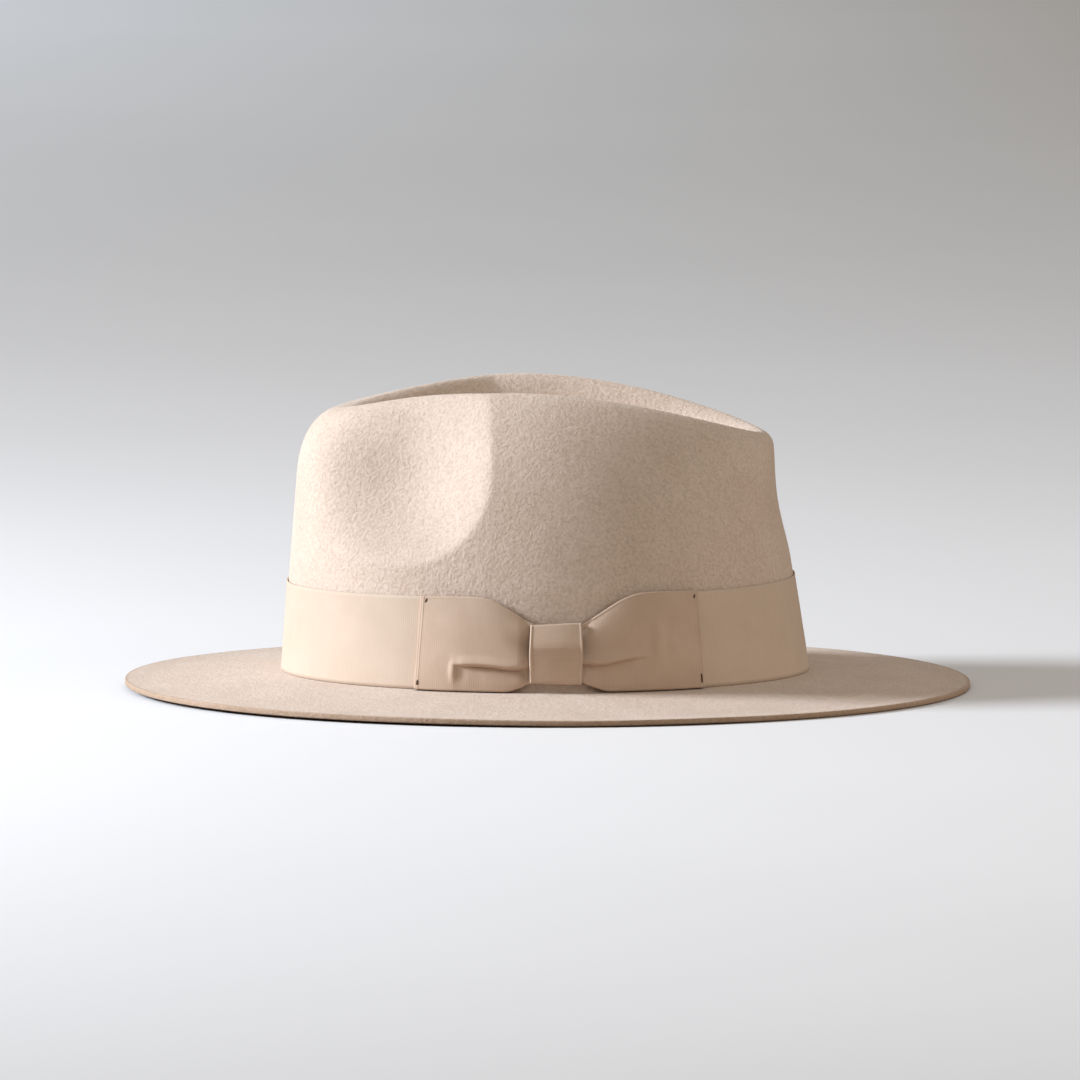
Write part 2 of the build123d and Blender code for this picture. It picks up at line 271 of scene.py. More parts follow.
def on_wall(turn, z, depth):
    """Point at a height on a layer along the crown wall; below the break it hangs straight."""
    turn, z, depth = np.broadcast_arrays(*[np.asarray(v, float) for v in (turn, z, depth)])
    p = layer_point(turn, station_at(turn, np.maximum(z, wall_foot + 0.01)), depth)
    low = z < wall_foot
    p[..., 2] = np.where(low, z, p[..., 2])
    return p


def near_turn(x):
    """Direction at which the bow side of the crown wall lies at this X."""
    return -np.arccos(np.clip((x - crown_x) / crown_half_length, -1, 1))


# How far the brim's edge stands above the table: direction in degrees, where 0 is the back and -90 the
# bow side, and lift in millimetres
brim_lifts = np.array([
    (-180, 1.5), (-160, 1.2), (-134, 0.9), (-114, 0.8), (-103, 0.7), (-94, 0.6),
    (-87, 0.1), (-80, 0.1), (-74, 0.5), (-68, 0.5), (-60, 0.0), (0, 0.0),
    (20, 0.6), (45, 1.1), (90, 1.1), (134, 1.3), (160, 1.7), (180, 1.5),
])


def brim_lift(turn):
    """Lift at a direction, smoothed over about fifteen degrees."""
    degrees = np.degrees(turn)
    total = 0
    for shift, weight in ((-12, 1), (-6, 3), (0, 4), (6, 3), (12, 1)):
        direction = (degrees + shift + 180) % 360 - 180
        total = total + weight * np.interp(direction, brim_lifts[:, 0], brim_lifts[:, 1])
    return total / 12


def settle(p):
    """Small unevenness of a real hat: a gently waving brim and a crown that is not quite true."""
    p = np.array(p, float)
    x, y, z = p[..., 0], p[..., 1], p[..., 2]
    turn = np.arctan2(y / brim_half_width, x / brim_half_length)
    out = np.hypot(x / brim_half_length, y / brim_half_width)
    reach = np.clip((out - 0.60) / 0.40, 0, 1) ** 1.5
    p[..., 2] = z + brim_lift(turn) * reach
    high = np.clip((z - 45) / 60, 0, 1)
    p[..., 0] = x + high * 0.6 * np.sin(y / 38.0 + 0.7)
    p[..., 1] = y + high * 0.7 * np.sin(x / 33.0 + 1.1)
    return p


# ---------------------------------------------------------------------------
# Mesh helpers
# ---------------------------------------------------------------------------


def new_object(name, verts, faces, material):
    """Smooth-shaded object from vertices in millimetres."""
    mesh = bpy.data.meshes.new(name)
    mesh.from_pydata([tuple(v) for v in np.asarray(verts) * mm], [], faces)
    mesh.update()
    obj = bpy.data.objects.new(name, mesh)
    bpy.context.scene.collection.objects.link(obj)
    mesh.polygons.foreach_set("use_smooth", [True] * len(mesh.polygons))
    mesh.materials.append(material)
    return obj


def grid_faces(rows, cols, close_cols=False, close_rows=False, start=0):
    """Faces of a grid of vertices that are numbered row by row."""
    faces = []
    for r in range(rows if close_rows else rows - 1):
        for c in range(cols if close_cols else cols - 1):
            a = start + r * cols + c
            b = start + r * cols + (c + 1) % cols
            d = start + ((r + 1) % rows) * cols + c
            e = start + ((r + 1) % rows) * cols + (c + 1) % cols
            faces.append((a, b, e, d))
    return faces


def add_uv(obj, uv):
    """One UV per vertex."""
    layer = obj.data.uv_layers.new(name="UVMap")
    index = np.empty(len(obj.data.loops), dtype=np.int32)
    obj.data.loops.foreach_get("vertex_index", index)
    layer.data.foreach_set("uv", np.asarray(uv, np.float32)[index].ravel())


def recalc_normals(obj):
    bm = bmesh.new()
    bm.from_mesh(obj.data)
    bmesh.ops.recalc_face_normals(bm, faces=bm.faces)
    bm.to_mesh(obj.data)
    bm.free()


def closed_rings(name, rows, material):
    """Solid ring of which each row runs round the hat; the first and the last row are joined."""
    r, n, _ = rows.shape
    obj = new_object(name, rows.reshape(-1, 3), grid_faces(r, n, True, True), material)
    recalc_normals(obj)
    return obj


def capped_rings(name, rows, material):
    """Solid skin of which each row runs round the hat; the first and the last row are capped."""
    r, n, _ = rows.shape
    verts = list(rows.reshape(-1, 3))
    faces = grid_faces(r, n, close_cols=True)
    for row in (0, r - 1):
        verts.append(rows[row].mean(axis=0))
        middle = len(verts) - 1
        for i in range(n):
            a, b = row * n + i, row * n + (i + 1) % n
            faces.append((middle, a, b) if row else (middle, b, a))
    obj = new_object(name, verts, faces, material)
    recalc_normals(obj)
    return obj


def strip_solid(name, front, back, material, uv=None):
    """Closed thin sheet between two equal open grids of points (rows, cols, 3)."""
    r, c, _ = front.shape
    verts = np.concatenate([front.reshape(-1, 3), back.reshape(-1, 3)])
    faces = grid_faces(r, c)
    faces += [tuple(reversed(f)) for f in grid_faces(r, c, start=r * c)]
    n = r * c
    for i in range(c - 1):
        faces.append((i + 1, i, n + i, n + i + 1))
        a = (r - 1) * c + i
        faces.append((a, a + 1, n + a + 1, n + a))
    for j in range(r - 1):
        a, b = j * c, (j + 1) * c
        faces.append((a, b, n + b, n + a))
        a, b = j * c + c - 1, (j + 1) * c + c - 1
        faces.append((b, a, n + a, n + b))
    obj = new_object(name, verts, faces, material)
    if uv is not None:
        flat = np.asarray(uv, float).reshape(-1, 2)
        add_uv(obj, np.concatenate([flat, flat]))
    recalc_normals(obj)
    return obj


def thicken(grid, thickness):
    """Second grid a thickness away along the grid's own normals."""
    du = np.gradient(grid, axis=1)
    dv = np.gradient(grid, axis=0)
    return grid + unit(np.cross(du, dv)) * thickness


def running_length(steps):
    """Distance in metres after each step, from steps in millimetres."""
    return np.concatenate([[0], np.cumsum(steps)]) * mm


def thread(name, paths, radius, material, sides=8):
    """Rounded lengths of thread along the given paths, all in one piece."""
    off_axis = np.array([0.31, 0.52, 0.79])
    end_taper = (0.45, 0.85)
    verts, faces = [], []
    for path in paths:
        path = np.asarray(path, float)
        tang = np.gradient(path, axis=0)
        tang /= np.linalg.norm(tang, axis=1, keepdims=True)
        base = len(verts)
        m = len(path)
        for i in range(m):
            a = np.cross(tang[i], off_axis)
            a /= np.linalg.norm(a)
            b = np.cross(tang[i], a)
            from_end = min(i, m - 1 - i)
            rad = radius * (end_taper[from_end] if from_end < len(end_taper) else 1.0)
            for k in range(sides):
                q = 2 * math.pi * k / sides
                verts.append(path[i] + rad * (math.cos(q) * a + math.sin(q) * b))
        faces += grid_faces(m, sides, close_cols=True, start=base)
        faces.append(tuple(range(base, base + sides)))
        faces.append(tuple(reversed(range(base + (m - 1) * sides, base + m * sides))))
    obj = new_object(name, verts, faces, material)
    recalc_normals(obj)
    return obj


# ---------------------------------------------------------------------------
# Materials
# ---------------------------------------------------------------------------


def srgb(r, g, b):
    def lin(v):
        v = v / 255
        return v / 12.92 if v <= 0.04045 else ((v + 0.055) / 1.055) ** 2.4
    return (lin(r), lin(g), lin(b), 1.0)


mixed = 2    # the Mix node's colour output

surface_sockets = {
    "roughness": "Roughness",
    "specular": "Specular IOR Level",
    "anisotropic": "Anisotropic",
    "sheen": "Sheen Weight",
    "sheen_roughness": "Sheen Roughness",
    "sheen_tint": "Sheen Tint",
    "emission": "Emission Strength",
}


class Nodes:
    """Short way to build a node material."""

    def __init__(self, name):
        self.mat = bpy.data.materials.new(name)
        self.mat.use_nodes = True
        self.tree = self.mat.node_tree
        self.tree.nodes.clear()
        self.out = self.add("ShaderNodeOutputMaterial")
        self.shader = self.add("ShaderNodeBsdfPrincipled")
        self.link(self.shader, "BSDF", self.out, "Surface")

    def add(self, kind):
        return self.tree.nodes.new(kind)

    def link(self, a, out, b, into):
        self.tree.links.new(a.outputs[out], b.inputs[into])

    def feed(self, socket, value):
        """Link a (node, output) pair to a socket, or set the socket's own value."""
        if isinstance(value, tuple) and len(value) == 2:
            self.tree.links.new(value[0].outputs[value[1]], socket)
        else:
            socket.default_value = value

    def surface(self, **values):
        for key, value in values.items():
            self.shader.inputs[surface_sockets[key]].default_value = value

    def coords(self, kind="Object", scale=(1, 1, 1)):
        tex = self.add("ShaderNodeTexCoord")
        mapping = self.add("ShaderNodeMapping")
        mapping.inputs["Scale"].default_value = scale
        self.link(tex, kind, mapping, "Vector")
        return mapping

    def noise(self, vector, scale, detail=4.0, rough=0.55, distortion=0.0):
        node = self.add("ShaderNodeTexNoise")
        node.inputs["Scale"].default_value = scale
        node.inputs["Detail"].default_value = detail
        node.inputs["Roughness"].default_value = rough
        node.inputs["Distortion"].default_value = distortion
        self.link(vector, 0, node, "Vector")
        return node

    def ramp(self, source, out, stops):
        node = self.add("ShaderNodeValToRGB")
        ramp = node.color_ramp
        while len(ramp.elements) < len(stops):
            ramp.elements.new(0.5)
        for element, (pos, col) in zip(ramp.elements, stops):
            element.position = pos
            element.color = col if len(col) == 4 else (*col, 1)
        self.link(source, out, node, "Fac")
        return node

    def math(self, kind, *values, clamp=False):
        node = self.add("ShaderNodeMath")
        node.operation = kind
        node.use_clamp = clamp
        for i, value in enumerate(values):
            self.feed(node.inputs[i], value)
        return node

    def mix(self, fac, a, b, kind="MIX"):
        """Mix two colours; the result is the node's output numbered by mixed."""
        node = self.add("ShaderNodeMix")
        node.data_type = "RGBA"
        node.blend_type = kind
        self.feed(node.inputs[0], fac)
        self.feed(node.inputs[6], a)
        self.feed(node.inputs[7], b)
        return node

    def bump(self, height, out, strength, distance, normal=None):
        node = self.add("ShaderNodeBump")
        node.inputs["Strength"].default_value = strength
        node.inputs["Distance"].default_value = distance
        self.link(height, out, node, "Height")
        if normal is not None:
            self.link(normal, "Normal", node, "Normal")
        return node


white = (1, 1, 1)


def felt_material():
    """Napped felt: fine flecks, broad mottling, a brown cut edge, painted shade in the nap's fine pitting
    and close corners.
    """
    n = Nodes("felt")
    at = n.coords("Object")
    mottle = n.noise(at, 38.0, 5.0, 0.6)
    nap = n.noise(at, 760.0, 6.0, 0.66)
    fibre_at = n.coords("Object", (1.0, 1.0, 0.45))
    fibre = n.noise(fibre_at, 1700.0, 3.0, 0.7, 0.4)
    clump = n.noise(at, 240.0, 3.0, 0.5)
    base = n.ramp(mottle, "Fac", [(0.3, srgb(212, 191, 173)), (0.7, srgb(221, 202, 186))])
    fleck = n.ramp(fibre, "Fac", [(0.28, (0.82, 0.80, 0.78)), (0.5, white), (0.75, (1.04, 1.04, 1.04))])
    # Painted shade in the hollows of the nap, with a faint painted highlight on its tops
    painted_pit_shade = n.ramp(nap, "Fac", [(0.34, (0.80, 0.77, 0.74)), (0.56, white), (0.75, (1.03, 1.03, 1.03))])
    grain = n.mix(0.6, (base, "Color"), (fleck, "Color"), "MULTIPLY")
    colour = n.mix(0.85, (grain, mixed), (painted_pit_shade, "Color"), "MULTIPLY")
    # The cut edge of the brim is browner than the napped faces
    shape = n.coords("Object", (1 / (brim_half_length * mm), 1 / (brim_half_width * mm), 0.0))
    length = n.add("ShaderNodeVectorMath")
    length.operation = "LENGTH"
    n.link(shape, 0, length, 0)
    cut = n.ramp(length, "Value", [(0.9905, white), (0.9965, (0.74, 0.66, 0.58))])
    edged = n.mix(1.0, (colour, mixed), (cut, "Color"), "MULTIPLY")
    # Painted shade: the felt is darkened wherever other surfaces come close, as where it is tucked under
    # the band and the bow
    near = n.add("ShaderNodeAmbientOcclusion")
    near.samples = 8
    near.inputs["Distance"].default_value = 0.006
    tucked = n.ramp(near, "AO", [(0.25, (0.46, 0.40, 0.35)), (0.62, white)])
    toned = n.mix(1.0, (edged, mixed), (tucked, "Color"), "MULTIPLY")
    n.link(toned, mixed, n.shader, "Base Color")
    big = n.bump(clump, "Fac", 0.35, 0.0010)
    mid = n.bump(nap, "Fac", 0.75, 0.0007, big)
    fine = n.bump(fibre, "Fac", 0.4, 0.0003, mid)
    n.link(fine, "Normal", n.shader, "Normal")
    n.surface(roughness=0.95, specular=0.10)
    n.surface(sheen=0.20, sheen_roughness=0.5, sheen_tint=srgb(244, 238, 230))
    return n.mat


def ribbon_material(name, light, dark, ribs_per_m=1150.0, sheen=0.12):
    """Ribbed ribbon: u runs along the ribbon and v across it, both in metres."""
    threads_per_m = 2600.0
    n = Nodes(name)
    at = n.coords("UV")
    where = n.coords("Object")
    split = n.add("ShaderNodeSeparateXYZ")
    n.link(at, 0, split, 0)
    wobble = n.noise(where, 90.0, 2.0)
    shifted = n.math("MULTIPLY_ADD", (wobble, "Fac"), 0.0006, (split, "X"))
    phase = n.math("MULTIPLY", (shifted, 0), 2 * math.pi * ribs_per_m)
    rib = n.math("SINE", (phase, 0))
    across = n.math("MULTIPLY", (split, "Y"), 2 * math.pi * threads_per_m)
    pick = n.math("SINE", (across, 0))
    weave = n.math("MULTIPLY", (rib, 0), (pick, 0))
    height = n.math("MULTIPLY_ADD", (weave, 0), 0.25, (rib, 0))
    mottle = n.noise(where, 55.0, 4.0, 0.6)
    base = n.ramp(mottle, "Fac", [(0.3, dark), (0.7, light)])
    # Painted shade in the grooves between the ribs, darkest where the rib height is lowest
    painted_rib_shade = n.ramp(height, 0, [(0.0, (0.95, 0.94, 0.93)), (0.6, white)])
    colour = n.mix(1.0, (base, "Color"), (painted_rib_shade, "Color"), "MULTIPLY")
    n.link(colour, mixed, n.shader, "Base Color")
    bump = n.bump(height, 0, 0.16, 0.0001)
    slub = n.noise(where, 420.0, 3.0, 0.6)
    soft = n.bump(slub, "Fac", 0.12, 0.0004, bump)
    n.link(soft, "Normal", n.shader, "Normal")
    n.surface(roughness=0.72, specular=0.28, sheen=sheen, sheen_roughness=0.4)
    return n.mat


def thread_material(name, colour):
    n = Nodes(name)
    at = n.coords("Object")
    twist = n.noise(at, 2600.0, 2.0, 0.6)
    tone = n.ramp(twist, "Fac", [(0.3, tuple(c * 0.7 for c in colour[:3])), (0.7, colour)])
    n.link(tone, "Color", n.shader, "Base Color")
    bump = n.bump(twist, "Fac", 0.5, 0.0001)
    n.link(bump, "Normal", n.shader, "Normal")
    n.surface(roughness=0.7)
    return n.mat


def leather_material(name, light, dark):
    n = Nodes(name)
    at = n.coords("Object")
    cells = n.add("ShaderNodeTexVoronoi")
    cells.feature = "DISTANCE_TO_EDGE"
    cells.inputs["Scale"].default_value = 1300.0
    n.link(at, 0, cells, "Vector")
    wear = n.noise(at, 45.0, 5.0, 0.6)
    base = n.ramp(wear, "Fac", [(0.3, dark), (0.7, light)])
    # Painted shade in the creases of the grain, along the cell edges that the bump sinks
    painted_crease_shade = n.ramp(cells, "Distance", [(0.0, (0.72, 0.70, 0.68)), (0.25, white)])
    colour = n.mix(0.7, (base, "Color"), (painted_crease_shade, "Color"), "MULTIPLY")
    n.link(colour, mixed, n.shader, "Base Color")
    fine = n.noise(at, 2500.0, 3.0, 0.6)
    low = n.bump(cells, "Distance", 0.35, 0.0002)
    top = n.bump(fine, "Fac", 0.12, 0.0001, low)
    n.link(top, "Normal", n.shader, "Normal")
    gloss = n.ramp(wear, "Fac", [(0.3, (0.42, 0.42, 0.42)), (0.7, (0.56, 0.56, 0.56))])
    n.link(gloss, "Color", n.shader, "Roughness")
    n.surface(specular=0.4)
    return n.mat


def satin_material(name, light, dark):
    n = Nodes(name)
    at = n.coords("Object")
    yarn_at = n.coords("Object", (1.0, 1.0, 7.0))
    yarn = n.noise(yarn_at, 900.0, 3.0, 0.6)
    tone = n.noise(at, 30.0, 3.0)
    base = n.ramp(tone, "Fac", [(0.3, dark), (0.7, light)])
    n.link(base, "Color", n.shader, "Base Color")
    bump = n.bump(yarn, "Fac", 0.25, 0.0002)
    n.link(bump, "Normal", n.shader, "Normal")
    n.surface(roughness=0.36, anisotropic=0.5, sheen=0.25, sheen_roughness=0.3)
    return n.mat


def plain_material(name, light, dark, rough, scale=400.0, strength=0.2):
    n = Nodes(name)
    at = n.coords("Object")
    grain = n.noise(at, scale, 4.0, 0.6)
    base = n.ramp(grain, "Fac", [(0.3, dark), (0.7, light)])
    n.link(base, "Color", n.shader, "Base Color")
    bump = n.bump(grain, "Fac", strength, 0.0002)
    n.link(bump, "Normal", n.shader, "Normal")
    n.surface(roughness=rough)
    return n.mat


felt = felt_material()
ribbon = ribbon_material("band_ribbon", srgb(209, 188, 168), srgb(202, 181, 160))
bow_ribbon = ribbon_material("bow_ribbon", srgb(202, 178, 157), srgb(192, 167, 145))
inner_ribbon = ribbon_material("inner_ribbon", srgb(120, 86, 62), srgb(98, 70, 50), 1000.0, 0.2)
tack_thread = thread_material("tack_thread", srgb(84, 60, 42))
seam_thread = thread_material("seam_thread", srgb(196, 172, 142))
leather = leather_material("sweatband_leather", srgb(150, 104, 70), srgb(124, 84, 56))
satin = satin_material("lining_satin", srgb(222, 208, 186), srgb(206, 190, 166))
tape_cloth = plain_material("reed_tape", srgb(150, 118, 88), srgb(120, 92, 68), 0.8, 1400.0, 0.5)
reed_plastic = plain_material("reed_plastic", srgb(215, 210, 196), srgb(200, 194, 180), 0.45)
card = plain_material("size_card", srgb(238, 234, 222), srgb(228, 222, 206), 0.85, 900.0, 0.3)


# ---------------------------------------------------------------------------
# Felt body
# ---------------------------------------------------------------------------

quality = 1.0


def all_round(count):
    """Evenly spaced directions round the hat."""
    return np.linspace(0, 2 * np.pi, int(count * quality), endpoint=False)


turns = all_round(640)
edge_fullness = 0.45          # how far the raw edge of the brim bulges


def rows_between(low, high, count):
    return list(np.linspace(low, high, max(3, int(count * quality)), endpoint=False))


def edge_direction():
    """Level direction straight out of the brim's edge."""
    out = np.stack([np.cos(turns) / brim_half_length, np.sin(turns) / brim_half_width, 0 * turns], -1)
    return out / np.linalg.norm(out, axis=1, keepdims=True)


def raw_edge(centre):
    """Rows of the rounded cut edge, from the underside of the brim round to the top."""
    steps = 9
    nap = 1 + 0.10 * np.sin(turns * 173 + 1.3) * np.sin(turns * 61)
    rows = []
    for k in range(1, steps):
        a = -np.pi / 2 + np.pi * k / steps
        bulge = np.sign(np.cos(a)) * abs(np.cos(a)) ** 0.55
        lift = np.sign(np.sin(a)) * abs(np.sin(a)) ** 0.7
        outwards = edge_direction() * (edge_fullness * bulge * nap)[:, None]
        rows.append(centre + outwards + straight_up * (felt_thickness / 2) * lift)
    return rows


def make_felt():
    """Crown and brim: the inner skin, the raw edge and the outer skin as one row of rings."""
    floor_end = 5.93
    outer_stations = np.array(
        rows_between(0.0, 0.96, 44) + rows_between(0.96, 1.0, 4) + rows_between(1.0, 2.0, 9)
        + rows_between(2.0, 3.0, 40) + rows_between(3.0, 3.6, 64) + rows_between(3.6, 4.0, 56)
        + rows_between(4.0, 5.0, 60) + rows_between(5.0, floor_end, 14) + [floor_end])
    inner_stations = np.array(
        rows_between(0.0, 1.0, 30) + rows_between(1.0, 2.0, 10) + rows_between(2.0, 3.0, 24)
        + rows_between(3.0, 4.0, 70) + rows_between(4.0, 5.0, 36)
        + rows_between(5.0, floor_end, 10) + [floor_end])
    outer = layer_point(turns[None, :], outer_stations[:, None], 0.0)
    inner = layer_point(turns[None, :], inner_stations[:, None], felt_thickness)
    edge = raw_edge((outer[0] + inner[0]) / 2)
    rows = np.array(list(inner[::-1]) + edge + list(outer))
    # Draw the edge in by as much as it bulges
    share = np.hypot(rows[..., 0] / brim_half_length, rows[..., 1] / brim_half_width)
    near_edge = np.clip((share - 0.97) / 0.03, 0, 1)
    rows = rows - edge_direction() * edge_fullness * near_edge[..., None]
    return capped_rings("felt_hat_body", settle(rows), felt)


felt_obj = make_felt()
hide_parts("felt_body")


# ---------------------------------------------------------------------------
# Band
# ---------------------------------------------------------------------------


def make_band():
    """Ribbon round the crown, a little uneven along its upper edge, with firm selvedges."""
    start = near_turn(ribbon_end_back)
    end = near_turn(ribbon_end_front) + 2 * np.pi
    t = np.linspace(start, end, int(900 * quality))
    share = np.linspace(0, 1, 26)
    top = ribbon_top + ribbon_top_slope * crown_half_length * np.cos(t)
    z = ribbon_bottom + (top[None, :] - ribbon_bottom) * share[:, None]
    z = z + (0.12 * np.sin(5 * t + 0.4) + 0.08 * np.sin(11 * t))[None, :] * (share[:, None] ** 2)
    depth = -0.22 - 0.08 * np.sin(3 * t + 1.0)[None, :] * np.sin(np.pi * share)[:, None]
    to_selvedge = np.minimum(share, 1 - share)[:, None] / 0.03
    depth = depth - 0.12 * np.exp(-to_selvedge ** 2)
    inner = on_wall(t[None, :], z, depth)
    outer = on_wall(t[None, :], z, depth - ribbon_gauge)
    middle_row = outer[len(share) // 2 - 1]
    run = running_length(np.linalg.norm(np.diff(middle_row, axis=0), axis=1))
    uv = np.stack(np.broadcast_arrays(run[None, :], share[:, None] * band_width), -1)
    return strip_solid("hatband", settle(outer), settle(inner), ribbon, uv), run[-1]


band_obj, band_length = make_band()
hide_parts("hatband_ribbon")


# ---------------------------------------------------------------------------
# Bow
# ---------------------------------------------------------------------------


def smooth(a, b, x):
    """Soft step from 0 at a to 1 at b."""
    q = np.clip((x - a) / (b - a), 0, 1)
    return q * q * (3 - 2 * q)


def hump(x, middle, width):
    """Soft bump of height 1 round a middle."""
    return np.exp(-((x - middle) / width) ** 2)


def side_point(x, z, out):
    """Point on the bow side at an X and height, standing out from the felt by out."""
    return on_wall(near_turn(x), z, -out)


def lobe_outline(side, q):
    """X, upper edge and lower edge of a lobe, from its outer end (0) to the knot (1)."""
    under_knot = 8.8
    if side < 0:
        x = np.interp(q, [0, 1], [bow_front, bow_x - under_knot])
        top = 42.9 + 0.3 * q - 10.4 * smooth(0.42, 1.08, q) ** 1.4
        low = 7.3 + 2.9 * smooth(0.72, 1.02, q) ** 1.4
    else:
        x = np.interp(q, [0, 1], [bow_back, bow_x + under_knot])
        top = 44.6 - 0.4 * q - 12.4 * smooth(0.38, 1.08, q) ** 1.35
        low = 7.3 + 3.4 * smooth(0.70, 1.02, q) ** 1.4
    return x, top, low


def lobe_pillow(side, qq, vv, height):
    """How far a lobe stands out: qq runs from its outer end to the knot, vv from its lower edge up."""
    pillow = 0.45 + 2.2 * np.sin(np.pi * qq) ** 0.8 * np.sin(np.pi * vv) ** 0.6
    pillow += 1.2 * smooth(0.45, 0.95, qq) * np.sin(np.pi * np.clip(vv * 1.05, 0, 1)) ** 0.8
    # Rolled fold at the outer end and firm selvedges along both edges
    pillow += 0.16 * hump(qq, 0.010, 0.008)
    pillow += 0.12 * hump(np.minimum(vv, 1 - vv), 0.012, 0.010)
    # Lengthwise fold from the knot outwards, a third of the way up: full above, tucked in below
    fold_v = (0.274 + 0.016 * qq) if side < 0 else (0.362 - 0.018 * qq)
    rise = smooth(0.28, 0.42, qq) if side < 0 else smooth(0.38, 0.70, qq)
    sink = smooth(0.31, 0.56, qq) if side < 0 else smooth(0.38, 0.74, qq)
    offset = (vv - fold_v) * height
    above = smooth(-1.0, 0.2, offset)
    lip = above * 1.15 * np.exp(-(np.maximum(offset, 0) / 2.4) ** 2)
    tuck = (1 - above) * 2.5 * np.exp(np.minimum(offset, 0) / 3.2)
    pillow += rise * lip - sink * tuck
    # Soft upright ridge where the fold dies out, and the hollow beside it
    if side < 0:
        pillow += 0.85 * hump(qq, 0.315, 0.028) * hump(vv, 0.20, 0.10)
        pillow -= 0.35 * hump(qq, 0.395, 0.040) * hump(vv, 0.17, 0.09)
    else:
        pillow += 0.55 * hump(qq, 0.36, 0.045) * hump(vv, 0.50, 0.20)
        pillow -= 0.35 * hump(qq, 0.27, 0.04) * hump(vv, 0.45, 0.18)
    # Gathers that run into the knot
    gather_phase = 0.6 if side < 0 else 1.4
    pillow += smooth(0.72, 1.0, qq) * 0.45 * np.sin(vv * 2 * np.pi * 2.6 + gather_phase)
    return pillow - 0.95 * smooth(0.86, 1.0, qq)


def make_lobe(side):
    """Front and back faces of one lobe: a back layer, a round fold at the outer end, a front layer."""
    cols = int(240 * quality)
    rows = int(170 * quality)
    q = np.linspace(0, 1, cols)
    v = np.linspace(0, 1, rows)
    x, top, low = lobe_outline(side, q)
    height = (top - low)[None, :]
    lean = (-1.0 if side < 0 else 1.3) * (1 - q)[None, :] * (1 - v)[:, None] * 1.3
    xx = x[None, :] + lean
    zz = low[None, :] + height * v[:, None]
    qq, vv = np.meshgrid(q, v)
    pillow = lobe_pillow(side, qq, vv, height)
    behind = 0.9
    front = side_point(xx, zz, behind + 0.45 + np.maximum(pillow, 0.15))
    back = side_point(xx, zz, behind)
    fold_steps = 7
    middle = (front[:, 0] + back[:, 0]) / 2
    half = (front[:, 0] - back[:, 0]) / 2
    fold = []
    for k in range(1, fold_steps):
        a = np.pi * k / fold_steps
        bulge = np.array([-1.0 if side < 0 else 1.0, 0, 0]) * 0.75 * math.sin(a)
        fold.append(middle - half * math.cos(a) + bulge)
    strip = np.concatenate([back[:, ::-1], np.stack(fold, 1), front], axis=1)
    if side > 0:
        strip = strip[:, ::-1]
    run = running_length(np.linalg.norm(np.diff(strip[rows // 2], axis=0), axis=1))
    uv = np.stack(np.broadcast_arrays(run[None, :], v[:, None] * bow_width), -1)
    return settle(strip), settle(thicken(strip, ribbon_gauge)), uv, run[-1]


def make_bow():
    pieces = []
    for label, side in (("bow_lobe_front", -1), ("bow_lobe_back", 1)):
        outer, inner, uv, run = make_lobe(side)
        pieces.append((strip_solid(label, outer, inner, bow_ribbon, uv), run))
    return pieces


lobes = make_bow()
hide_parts("bow_loops")
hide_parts("bow_loops")


def make_knot():
    """Short ribbon wrapped round the middle of the bow, its lower half turned down."""
    half = 9.9
    fold_height = 21.4
    # Height and distance from the felt, from behind the lower edge round the front to behind the upper
    profile = np.array([
        (10.3, 2.6), (9.9, 3.2), (10.1, 3.8), (11.0, 4.3), (13.4, 4.75), (17.4, 5.5), (21.4, 6.25),
        (23.8, 6.6), (25.6, 6.3), (29.4, 5.1), (31.8, 4.35), (32.8, 4.0), (33.2, 3.4), (32.8, 2.7),
    ])
    corners = np.arange(len(profile))
    along = np.linspace(0, corners[-1], int(120 * quality))
    z = np.interp(along, corners, profile[:, 0])
    out = np.interp(along, corners, profile[:, 1])
    for _ in range(6):
        z[1:-1] = (z[:-2] + 2 * z[1:-1] + z[2:]) / 4
        out[1:-1] = (out[:-2] + 2 * out[1:-1] + out[2:]) / 4
    u = np.linspace(-1, 1, int(90 * quality))[None, :]
    from_edge = 1 - np.abs(u)
    rim = 0.34 * hump(from_edge, 0.045, 0.035) - 0.5 * hump(from_edge, 0, 0.02)
    x = bow_x + half * u * (1 + 0.012 * np.cos((z - fold_height) / 4)[:, None])
    out_to = out[:, None] - 0.35 * u ** 2 + rim
    zz = z[:, None] + 0.35 * np.sin(u * 1.6) * ((z - fold_height) / 12)[:, None]
    outer = side_point(x, zz, out_to)
    inner = side_point(x, zz * 0.97 + fold_height * 0.03, out_to - 0.55)
    run = running_length(np.hypot(np.diff(z), np.diff(out)))
    uv = np.stack(np.broadcast_arrays(run[:, None], u * half * mm), -1)
    obj = strip_solid("bow_wrap", settle(outer), settle(inner), bow_ribbon, uv)
    return obj, run[-1]


knot_obj, knot_run = make_knot()
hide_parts("bow_knot")


def tack(x, z, length, out, lean=0.0):
    """Path of one small upright stitch on the bow side."""
    q = np.linspace(-1, 1, 9)
    xs = x + lean * q
    zs = z + q * length / 2
    height = out + 0.12 * (1 - q ** 2) - 0.35 * (np.abs(q) > 0.95)
    return side_point(xs, zs, height)


corner_tacks = [
    tack(bow_front - 0.9, 9.6, 2.2, 2.3, 0.15),
    tack(bow_front + 1.4, 41.3, 1.5, 2.2, 0.35),
    tack(bow_back + 1.3, 10.6, 4.0, 2.3, -0.1),
    tack(bow_back - 0.6, 42.4, 1.6, 2.2, 0.3),
]
corner_obj = thread("corner_tacks", settle(np.array(corner_tacks)), 0.36, tack_thread)
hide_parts("bow_tack_stitches")

